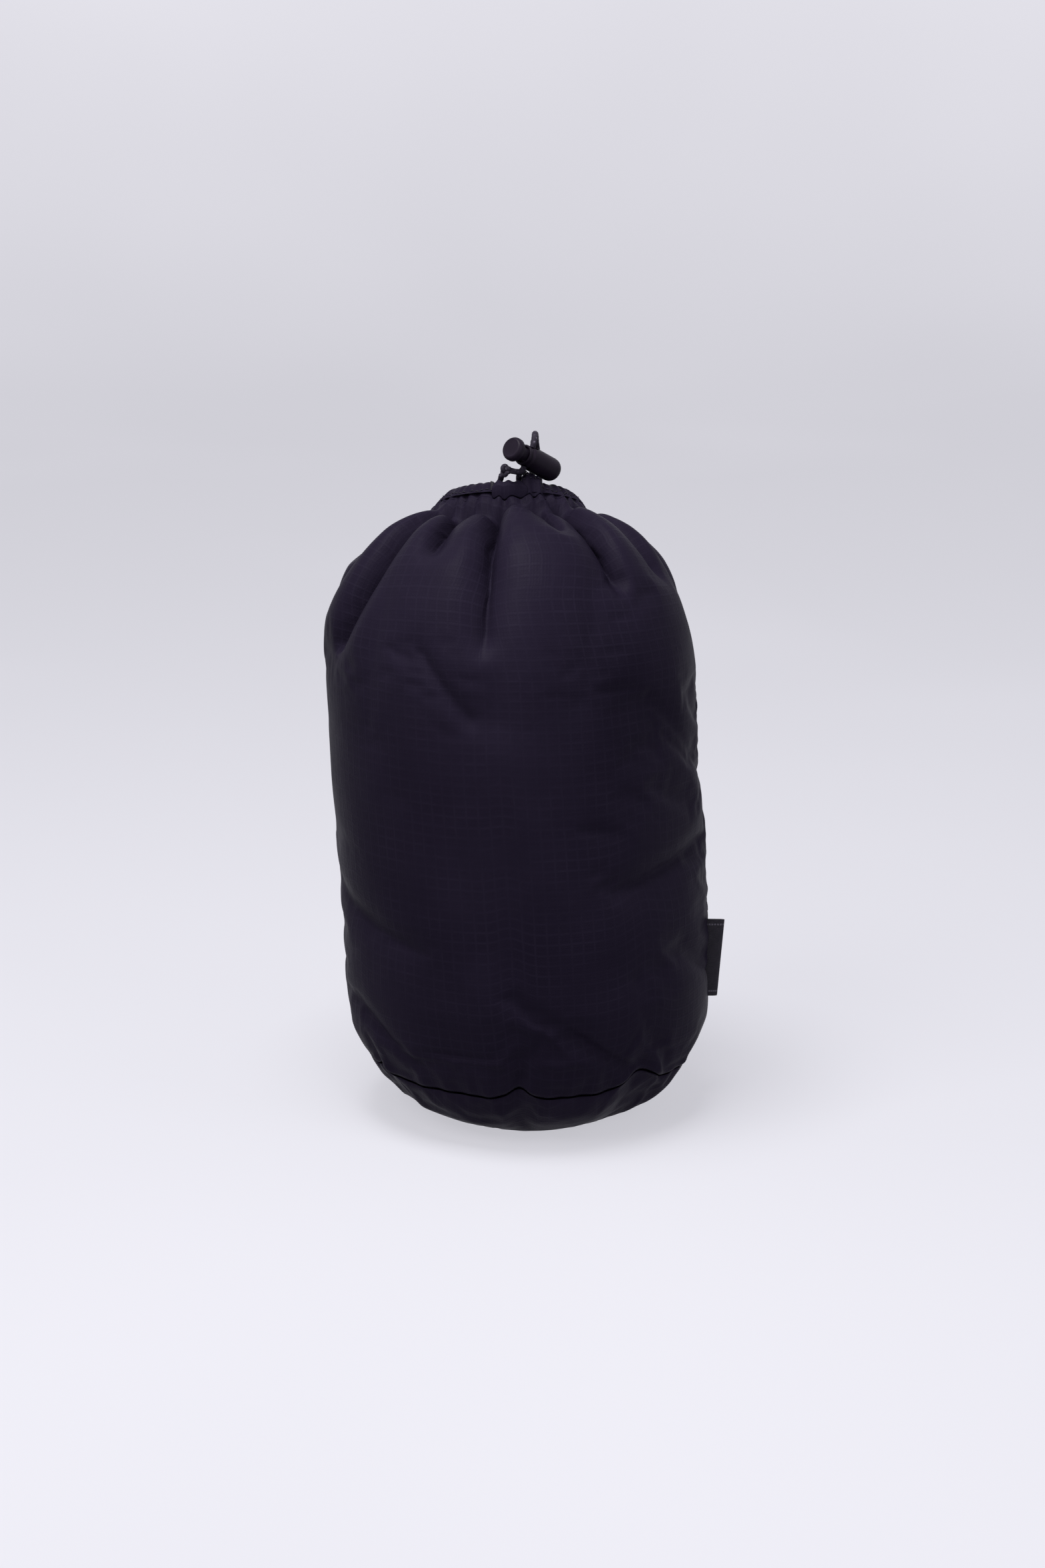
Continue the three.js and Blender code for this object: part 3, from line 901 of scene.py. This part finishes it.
def inward(points):
    """The way into the sack from each point."""
    middle = settle(np.stack([0 * points[:, 0], 0 * points[:, 1], points[:, 2].clip(60, DOME_Z)], 1))
    way = middle - points
    return way / np.linalg.norm(way, axis=1, keepdims=True)


def press_in(points, line, radius, ways=None):
    """Moves points in until they're under a round thing of a radius that lies along a line."""
    ways = inward(points) if ways is None else ways
    need = np.zeros(len(points))
    for centre in line:
        out = points - centre
        along = (out * ways).sum(1)
        aside = (out**2).sum(1) - along**2
        under = np.sqrt(np.maximum(radius**2 - aside, 0)) - along
        near = (aside < radius**2) & (np.abs(along) < PRESS_REACH)
        need = np.maximum(need, np.where(near, under, 0))
    return points + ways * np.clip(need, 0, PRESS_REACH)[:, None]


def lock_point(along):
    """The point on the lock's axis that is so far from the face of its button."""
    return np.array(LOCK_FACE + LOCK_AXIS * along)


def under_lock(points):
    """Points pressed down until they're clear of the cord lock."""
    lock = np.array([lock_point(a) for a in np.arange(0, LOCK_LENGTH + 0.5, 0.5)])
    down = np.tile([0.0, 0.0, -1.0], (len(points), 1))
    return press_in(points, lock, LOCK_R + LOCK_GAP, down)


def clear_of_fittings(points):
    """Dents the cloth under the drawcord's tail and under the lock."""
    tail = catmull_rom(ROUTES["drawcord_tail"], 1.0)
    return under_lock(press_in(points, tail, CORD_R + CLOTH_T / 2 + TAIL_GAP))


# Pieces of the sack

# The cloth's hidden edges: how far each goes in, and up or down, from the seam that holds it
SEAM_EDGE_IN, SEAM_EDGE_RISE = 1.6, 0.9
# How deep the side seam lies and how far the cloth stands out beside it
SIDE_SEAM_IN, SIDE_SEAM_OUT = 0.9, 0.2
HEM_T = 0.35
HEM_ROW_STEP = 2.4
EDGE_T = 0.9
SIDE_EDGE_DEPTHS = (1.8, 3.8, 5.8)
BASE_EDGE_STEPS = ((2.2, 1.4), (4.6, 1.9), (7.4, 2.2))


def flat_places(rows, columns, first_v, step):
    """Each grid point's place on the flat cloth, in metres."""
    u = np.tile(np.arange(columns) * SPACING, rows)
    v = np.repeat(first_v + np.arange(rows) * step, columns)
    return np.stack([u, v], 1) * MM


def bake_modifiers(obj):
    """Turns what the modifiers make into the object's own mesh."""
    graph = bpy.context.evaluated_depsgraph_get()
    made = bpy.data.meshes.new_from_object(obj.evaluated_get(graph), depsgraph=graph)
    obj.modifiers.clear()
    obj.data = made


def thicken(obj, thickness=CLOTH_T, levels=1, offset=-1):
    """Gives a surface a thickness and rounds it; offset -1 grows it to the back, 0 both ways."""
    add_modifier(obj, "thickness", "SOLIDIFY", thickness=thickness * MM, offset=offset)
    add_modifier(obj, "smooth", "SUBSURF", levels=levels, render_levels=levels)
    bake_modifiers(obj)


def tucked(ring, into, rise):
    """A ring's points moved into the sack and up or down: the cloth's edge inside a seam."""
    ways = inward(ring)
    ways[:, 2] = 0
    return ring + ways * into + np.array([0, 0, rise])


def make_body(rows, seam_row, paint):
    """The body from the base seam to a row under the hem, with the side seam drawn in."""
    body = rows[seam_row:].copy()
    ways = inward(body[:, SIDE_COLUMN])
    body[:, SIDE_COLUMN] += SIDE_SEAM_IN * ways
    for side in (-1, 1):
        body[:, SIDE_COLUMN + side] -= SIDE_SEAM_OUT * ways
    edge = tucked(body[0], SEAM_EDGE_IN, SEAM_EDGE_RISE)
    under_hem = body[-1] + 0.9 * (body[-1] - body[-2]) + 0.5 * inward(body[-1])
    grid = np.vstack([edge[None], body, under_hem[None]])
    count = len(grid)
    points = clear_of_fittings(grid.reshape(-1, 3))
    uv = flat_places(count, COLUMNS, 0, SPACING)
    obj = mesh_object("sack_body_cloth", points, grid_faces(count, COLUMNS), paint, uv)
    thicken(obj)
    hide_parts("body_panel")
    return obj, body


def make_base(rows, seam_row, middle, patch, paint):
    """The round base: rings of cloth out to the seam, and the flat middle patch."""
    base = rows[: seam_row + 1].copy()
    edge = tucked(base[-1], SEAM_EDGE_IN, -SEAM_EDGE_RISE)
    grid = np.vstack([base, edge[None]])
    count = len(grid)
    points = np.vstack([grid.reshape(-1, 3), middle])
    points[:, 2] = np.maximum(points[:, 2], 0.05)
    shift = count * COLUMNS - len(rows) * COLUMNS
    faces = grid_faces(count, COLUMNS)
    faces += [tuple(i if i < COLUMNS else i + shift for i in face) for face in patch]
    obj = mesh_object("sack_base_cloth", points, faces, paint, points[:, :2] * MM)
    thicken(obj)
    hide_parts("base_panel")
    return obj


# The hem's section from the stitch line over the cord, round the lip and back under it
HEM_SECTION = (
    (34.0, 272.4), (32.5, 273.9), (30.4, 275.5), (28.2, 276.9), (25.8, 277.7), (23.2, 277.9),
    (20.8, 277.6), (18.6, 276.7), (17.2, 275.3), (17.4, 273.9), (19.2, 272.9), (22, 272.3),
    (26, 271.7), (30, 271.3), (32.4, 271.2),
)
# The cloth in front of and under the cord where the tunnel is open: radius, height, and its
# share of the ridge that hides the foot of the cords
FACING_SECTION = (
    (34, 272.4, 0), (33.2, 273, 0.35), (32.2, 273.6, 0.8), (31, 274, 1), (29.8, 273.9, 0.75),
    (28.6, 273.7, 0.3), (26.4, 273.2, 0), (23, 272.7, 0), (19.5, 272.7, 0), (17.6, 273.2, 0),
)
FACING_RIDGE = 2.9
FACING_REACH = 1.35
EXIT_ANGLE = math.asin(EXIT_HALF / HEM_R)
# The hem's rows that show from outside, the rows that carry on the cloth's folds, the share each
# of these loses, and the depth of a fold that turns a ridge of the hem into a hollow
HEM_OUTER_ROWS, HEM_FOLD_ROWS, HEM_FADE, HEM_DEPTH = 11, 4, 0.25, 2.6
# The tuft that the lock pulls up beside the exit: angle, width, height, and its share of each row
TUFT_AT, TUFT_WIDTH, TUFT_HEIGHT = 18, 9.5, 8.0
TUFT_PULL = 3.0
TUFT_ROWS = (0, 0.7, 1, 0.75, 0.25)


def section_normals(line):
    """The way out of a section at each of its points."""
    way = np.gradient(line, axis=0)
    way /= np.linalg.norm(way, axis=1)[:, None]
    normals = np.stack([-way[:, 1], way[:, 0]], 1)
    return normals * np.sign(((line - line.mean(0)) * normals).sum(1))[:, None]


def hem_rows(top_ring):
    """Rows of the hem that carry on the ruffles of the cloth's top ring, from exit to exit."""
    line = np.array(HEM_SECTION)
    angles = np.arctan2(top_ring[:, 0], -top_ring[:, 1])
    first, last = (int(np.abs(angles - side * EXIT_ANGLE).argmin()) for side in (1, -1))
    order = np.arange(first, last + 1 + COLUMNS) % COLUMNS
    angles = angles[order]
    depth = DOME_R - np.linalg.norm(top_ring[order] - [0, 0, DOME_Z], axis=1)
    relief = 1 - 2 * np.clip(depth / HEM_DEPTH, 0, 1)
    tuft = bump(angles, TUFT_AT, TUFT_WIDTH) * (0.85 + 0.15 * np.cos(angles * 90))
    rows = [top_ring[order]]
    for k, ((r, z), (nr, nz)) in enumerate(zip(line[1:], section_normals(line)[1:]), 1):
        gap = math.asin(EXIT_HALF / r)
        spread = np.maximum(np.abs(angles) - EXIT_ANGLE, 0) * (math.pi - gap) / (math.pi - EXIT_ANGLE)
        angle = np.sign(angles) * (gap + spread)
        wander = 0.25 * np.sin(37 * angle + 0.7 * k) + 0.2 * np.sin(61 * angle - 1.1 * k)
        own = 0.3 + relief + wander if k < HEM_OUTER_ROWS else 0.2 * wander
        share = 1 - HEM_FADE * k if k < HEM_FOLD_ROWS else 0
        out = own * (1 - share) - depth * share
        lift = tuft * (TUFT_ROWS[k] if k < len(TUFT_ROWS) else 0)
        radius = r + nr * out + 1.5 * lift
        height = z + nz * out + TUFT_HEIGHT * lift
        pull = TUFT_PULL * lift * bump(angle, math.degrees(EXIT_ANGLE), TUFT_WIDTH)
        row = round_the_sack(radius, angle, height)
        row[:, 0] -= pull
        rows.append(row)
    return np.array(rows)


def facing_rows(top_ring):
    """Rows of cloth under the cord where the tunnel is open."""
    angles = np.arctan2(top_ring[:, 0], -top_ring[:, 1])
    reach = FACING_REACH * EXIT_ANGLE
    low, high = (int(np.abs(angles - side * reach).argmin()) for side in (-1, 1))
    angles = angles[low : high + 1]
    fade = smooth(1.3, 0.95, np.abs(angles) / EXIT_ANGLE)
    ridge = FACING_RIDGE * fade * (0.8 + 0.2 * np.cos(45 * angles + 0.6))
    rows = [top_ring[low : high + 1]]
    for r, z, share in FACING_SECTION[1:]:
        rows.append(round_the_sack(r, angles, z + share * ridge))
    return np.array(rows)


def make_hem(top_ring, paint):
    """The tunnel of cloth over the drawcord and the cloth in its open part, as one object."""
    points, faces, uv, grids = [], [], [], []
    for rows in (hem_rows(top_ring), facing_rows(top_ring)):
        count, across = rows.shape[:2]
        placed = under_lock(settle(rows.reshape(-1, 3)))
        faces += grid_faces(count, across, closed=False, first=len(points))
        points += placed.tolist()
        uv += flat_places(count, across, MERIDIAN, HEM_ROW_STEP).tolist()
        grids.append(placed.reshape(count, across, 3))
    obj = mesh_object("sack_hem_cloth", points, faces, paint, uv)
    thicken(obj, HEM_T)
    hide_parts("mouth_hem")
    return obj, grids[0]


# The hem's stitches: their length, gap and thread, the step of their line, and how they bow out
STITCH_LENGTH, STITCH_GAP, STITCH_D = 1.7, 0.7, 0.38
STITCH_STEP = 0.25
STITCH_LIFT = np.array([0, -0.12, 0.26])
# The bartacks' zigzag: how many turns, how many columns wide, its thread, and the hem's rows it covers
BARTACK_TURNS, BARTACK_COLUMNS, BARTACK_THREAD_R = 22, 2, 0.22
BARTACK_ROWS = (1.6, 5.0)


def short_threads(line):
    """Single stitches laid end to end along a line, as one mesh's points and faces."""
    fine = even_steps(line, STITCH_STEP)
    each = round(STITCH_LENGTH / STITCH_STEP)
    skip = round((STITCH_LENGTH + STITCH_GAP) / STITCH_STEP)
    points, faces = [], []
    for start in range(0, len(fine) - each, skip):
        part = fine[start : start + each + 1][:: max(1, each // 4)]
        bow = np.sin(np.linspace(0, math.pi, len(part)))[:, None]
        part = part + STITCH_LIFT[None] * bow
        sizes = STITCH_D / 2 * np.sqrt(np.clip(bow, 0.15, 1))
        made, made_faces = closed_tube(part, sizes, 6)
        faces += [tuple(len(points) + i for i in face) for face in made_faces]
        points += made.tolist()
    return np.array(points), faces


def make_hem_stitches(hem_grid, paint):
    line = (hem_grid[1] + hem_grid[2]) / 2
    points, faces = short_threads(line)
    obj = mesh_object("hem_stitches", points, faces, paint)
    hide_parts("hem_stitching")
    return obj


def make_bartack(hem_grid, side, paint):
    """A dense zigzag over the hem that closes one end of its tunnel."""
    first = 1 if side > 0 else hem_grid.shape[1] - 2 - BARTACK_COLUMNS
    fine = []
    for i in range(BARTACK_TURNS + 1):
        row = BARTACK_ROWS[0] + (BARTACK_ROWS[1] - BARTACK_ROWS[0]) * i / BARTACK_TURNS
        column = first + BARTACK_COLUMNS * (i % 2)
        low = int(row)
        place = hem_grid[low, column] * (1 - row + low) + hem_grid[low + 1, column] * (row - low)
        fine.append(place + [0, 0, 0.12])
    points, faces = closed_tube(even_steps(np.array(fine), 0.3), BARTACK_THREAD_R, 6)
    name = "bartack_left" if side < 0 else "bartack_right"
    obj = mesh_object(name, points, faces, paint)
    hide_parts("tunnel_bartack_left" if side < 0 else "tunnel_bartack_right")
    return obj


def seam_edge(name, grid, closed, flat_axes, paint):
    """A strip of overlocked cloth edges through a grid of points."""
    points = grid.reshape(-1, 3)
    faces = grid_faces(*grid.shape[:2], closed=closed)
    obj = mesh_object(name, points, faces, paint, points[:, flat_axes] * MM)
    thicken(obj, EDGE_T, offset=0)
    return obj


def make_allowances(body, paint):
    """The overlocked cloth edges inside the side seam and the base seam."""
    column = body[3:-3, SIDE_COLUMN]
    ways = inward(column)
    strip = np.stack([column + ways * depth for depth in SIDE_EDGE_DEPTHS], 1)
    for side in range(3):
        strip[:, side, 1] += 0.25 * np.sin(np.arange(len(column)) * 0.9 + side)
    side_edge = seam_edge("side_seam_edge", strip, False, [0, 2], paint)
    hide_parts("side_seam_allowance")
    rings = np.array([tucked(body[0], into, rise) for into, rise in BASE_EDGE_STEPS])
    base_edge = seam_edge("base_seam_edge", rings, True, [0, 1], paint)
    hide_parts("base_seam_allowance")
    return side_edge, base_edge


# Cords


def make_cord(name, line, paint, body, node):
    points, faces = closed_tube(line, braided(line), BRAID_SIDES)
    obj = mesh_object(name, points, faces, paint, body=body)
    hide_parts(node)
    return obj


def make_knot(paint):
    """An overhand knot in the drawcord's two ends."""
    turn = np.linspace(0, 2 * math.pi, 160)
    loop = np.stack([
        0.62 * (np.sin(turn) + 2 * np.sin(2 * turn)),
        1.15 * np.sin(3 * turn),
        0.70 * (np.cos(turn) - 2 * np.cos(2 * turn)),
    ], 1)
    spin = np.array(Matrix.Rotation(KNOT_TURN, 3, "Y"))
    line = even_steps(loop @ spin.T + KNOT_AT, BRAID_STEP)
    points, faces = closed_tube(line, braided(line) * KNOT_CORD_SHARE, BRAID_SIDES)
    obj = mesh_object("drawcord_knot_tied", points, faces, paint)
    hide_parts("drawcord_knot")
    return obj


def make_cords(paint):
    """The drawcord's free strands, its tail and knot, and the part of it inside the hem."""
    lines = {name: catmull_rom(points, BRAID_STEP) for name, points in ROUTES.items()}
    into_knot = (KNOT_EXIT, *ROUTES["drawcord_knot_to_lock"])
    lines["drawcord_knot_to_lock"] = catmull_rom(into_knot, BRAID_STEP)
    left, right, link, tail = (
        make_cord(node.replace("drawcord", "cord"), line, paint, None, node)
        for node, line in lines.items()
    )
    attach(left, "sack")
    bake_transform(right)
    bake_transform(link)
    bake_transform(tail)
    knot = make_knot(paint)
    start = math.asin((EXIT_HALF + LOOP_END_GAP) / CORD_LOOP_R)
    angle = np.linspace(start, 2 * math.pi - start, 120)
    ring = round_the_sack(CORD_LOOP_R, angle, CORD_LOOP_Z)
    loop = even_steps(settle(ring), BRAID_STEP)
    make_cord("cord_in_hem", loop, paint, "sack", "drawcord_in_hem")


# The cord lock

# Outlines as radius and distance from the button's face, the rounding of their corners, and holes
BARREL_INSIDE = LOCK_LENGTH - 1.6
BARREL_LINE = (
    (0, BARREL_INSIDE), (BORE_R, BARREL_INSIDE), (BORE_R, BARREL_MOUTH), (4.3, BARREL_MOUTH),
    (4.55, 8.9), (4.55, 10.0), (4.35, 10.3), (4.5, 10.6), (LOCK_R, 11.5), (LOCK_R, 27.8),
    (5.0, 29.2), (4.4, 30.3), (3.2, 30.9), (0, LOCK_LENGTH),
)
PLUNGER_LINE = (
    (0, 0.25), (3.4, 0.2), (4.1, 0.05), (4.7, 0.5), (LOCK_R, 1.4), (LOCK_R, 3.3), (4.9, 3.8),
    (SHAFT_R, 4.4), (SHAFT_R, SHAFT_END), (0, SHAFT_END),
)
BARREL_ROUND, PLUNGER_ROUND = 0.35, 0.3
BARREL_HOLE_R, PLUNGER_HOLE_R = 3.0, 2.4
DRILL_REACH = 9
SHARP_ANGLE = math.radians(40)


def lock_matrix():
    """The turn from a lock drawn about +Y, with its cord hole along X, to its place on the sack."""
    side = LOCK_CORD_WAY.cross(LOCK_AXIS).normalized()
    cord_way = LOCK_AXIS.cross(side)
    return Matrix((cord_way, LOCK_AXIS, side)).transposed()


def round_corners(outline, radius, steps=4):
    """An outline with each inner corner replaced by a small curve."""
    points = [Vector(p) for p in outline]
    made = [points[0]]
    for before, corner, after in zip(points, points[1:], points[2:]):
        back, on = before - corner, after - corner
        reach = min(radius, back.length * 0.45, on.length * 0.45)
        start, end = corner + back.normalized() * reach, corner + on.normalized() * reach
        for i in range(steps + 1):
            t = i / steps
            made.append((1 - t) ** 2 * start + 2 * t * (1 - t) * corner + t**2 * end)
    return [*made, points[-1]]


def lathe(outline, sides=64):
    """A round body about +Y from points of (radius, height), closed on the axis at both ends."""
    inner = [p for p in outline if p[0] > 1e-6]
    points = []
    for r, y in inner:
        for j in range(sides):
            angle = 2 * math.pi * j / sides
            points.append((r * math.sin(angle), y, r * math.cos(angle)))
    faces = grid_faces(len(inner), sides)
    return capped(points, faces, sides, (0, outline[0][1], 0), (0, outline[-1][1], 0))


def drilled(points, faces, hole_radius, hole_at):
    """The body with a round cross hole through it, as points and faces."""
    body = rough_object("drilled_body", points, faces)
    normals_out(body)
    low, high = -DRILL_REACH, DRILL_REACH
    pin_line = [(0, low), (hole_radius, low), (hole_radius, high), (0, high)]
    pin_points, pin_faces = lathe(pin_line, 32)
    pin_points = [(y, x + hole_at, z) for x, y, z in pin_points]
    pin = rough_object("drill", pin_points, pin_faces)
    normals_out(pin)
    add_modifier(body, "hole", "BOOLEAN", object=pin, operation="DIFFERENCE", solver="EXACT")
    done = body.evaluated_get(bpy.context.evaluated_depsgraph_get()).to_mesh()
    points = [tuple(v.co) for v in done.vertices]
    faces = [tuple(p.vertices) for p in done.polygons]
    bpy.data.objects.remove(body)
    bpy.data.objects.remove(pin)
    return points, faces


def normals_out(obj):
    made = bmesh.new()
    made.from_mesh(obj.data)
    bmesh.ops.recalc_face_normals(made, faces=made.faces)
    made.to_mesh(obj.data)
    made.free()


def place_in_lock(points):
    turn = lock_matrix()
    return [turn @ Vector(p) + LOCK_FACE for p in points]


def make_lock(paint, steel):
    solid = lathe(round_corners(BARREL_LINE, BARREL_ROUND))
    points, faces = drilled(*solid, BARREL_HOLE_R, CORD_HOLE_AT)
    barrel = mesh_object("lock_barrel", place_in_lock(points), faces, paint, body="cord_lock")
    barrel.data.set_sharp_from_angle(angle=SHARP_ANGLE)
    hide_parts("cord_lock_barrel")
    solid = lathe(round_corners(PLUNGER_LINE, PLUNGER_ROUND))
    points, faces = drilled(*solid, PLUNGER_HOLE_R, CORD_HOLE_AT - PRESS_TRAVEL)
    plunger = mesh_object("lock_plunger", place_in_lock(points), faces, paint, body="plunger")
    plunger.data.set_sharp_from_angle(angle=SHARP_ANGLE)
    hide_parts("cord_lock_plunger")
    make_spring(steel)


def make_spring(paint):
    """The coil behind the plunger, made at one length; it is not shortened here as the plunger goes
    in.
    """
    turn = np.linspace(0, 2 * math.pi * SPRING_TURNS, 40 * SPRING_TURNS + 1)
    along = np.linspace(SPRING_FROM, SPRING_TO, len(turn))
    coil = np.stack([SPRING_R * np.cos(turn), along, SPRING_R * np.sin(turn)], 1)
    points, faces = closed_tube(np.array(place_in_lock(coil)), SPRING_WIRE_R, 8)
    obj = mesh_object("lock_spring_coil", points, faces, paint, body="cord_lock")
    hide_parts("cord_lock_spring")
    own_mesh(obj)


# The label

# Its cloth, how deep its ends go into the seam, where its folded edge is at the bottom, and its mesh
LABEL_T = 0.32
LABEL_ROOT = 2.6
LABEL_TIP_LOW = 85.5
LABEL_ROWS, LABEL_REACH = 15, 11


def make_label(paint):
    """A ribbon folded in half, its ends caught in the side seam."""
    low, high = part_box("side_label")
    root, half = low.x / MM - LABEL_ROOT, (high.y - low.y) / MM / 2
    bottom, top = low.z / MM, high.z / MM
    points, uv = [], []
    for i in range(LABEL_ROWS):
        up = i / (LABEL_ROWS - 1)
        z = bottom + (top - bottom) * up
        tip = LABEL_TIP_LOW + (high.x / MM - LABEL_TIP_LOW) * up
        wave = 0.25 * math.sin(4.2 * up + 0.6)
        for j in range(-LABEL_REACH, LABEL_REACH + 1):
            share = j / LABEL_REACH
            out = 1 - abs(share)
            y = half * 0.8 * math.copysign(min(1, abs(share) * 5), share) + wave * out * 1.4
            points.append((root + (tip - root) * out, y, z))
            uv.append((j * 0.0007, (z - bottom) * MM))
    faces = grid_faces(LABEL_ROWS, 2 * LABEL_REACH + 1, closed=False)
    obj = mesh_object("side_label_ribbon", points, faces, paint, uv, body=None)
    thicken(obj, LABEL_T, levels=2, offset=0)
    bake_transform(obj)
    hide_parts("side_label")
    return obj


def make_sack():
    shell = ripstop_paint("shell_ripstop")
    lining = ripstop_paint("seam_edges", tone=1.25)
    thread = plain_paint("black_thread", (0.010, 0.009, 0.013), 0.7, 2500.0, 0.0001)
    rows, seam_row, middle, patch, top = sack_cloth()
    body, body_grid = make_body(rows, seam_row, shell)
    base = make_base(rows, seam_row, middle, patch, shell)
    hem, hem_grid = make_hem(top, shell)
    stitches = make_hem_stitches(hem_grid, thread)
    bartacks = [make_bartack(hem_grid, side, thread) for side in (-1, 1)]
    edges = make_allowances(body_grid, lining)
    label = make_label(ribbon_paint())


def main():
    make_camera()
    make_stage()
    make_lights()
    make_cords(cord_paint())
    make_sack()
    plastic = (0.0065, 0.0045, 0.0085)
    lock = plain_paint("lock_plastic", plastic, 0.42, 1400.0, 0.00008, gloss=0.05)
    steel = plain_paint("spring_steel", (0.55, 0.55, 0.57), 0.3, 1800.0, 0.00003, metallic=1.0)
    make_lock(lock, steel)


main()
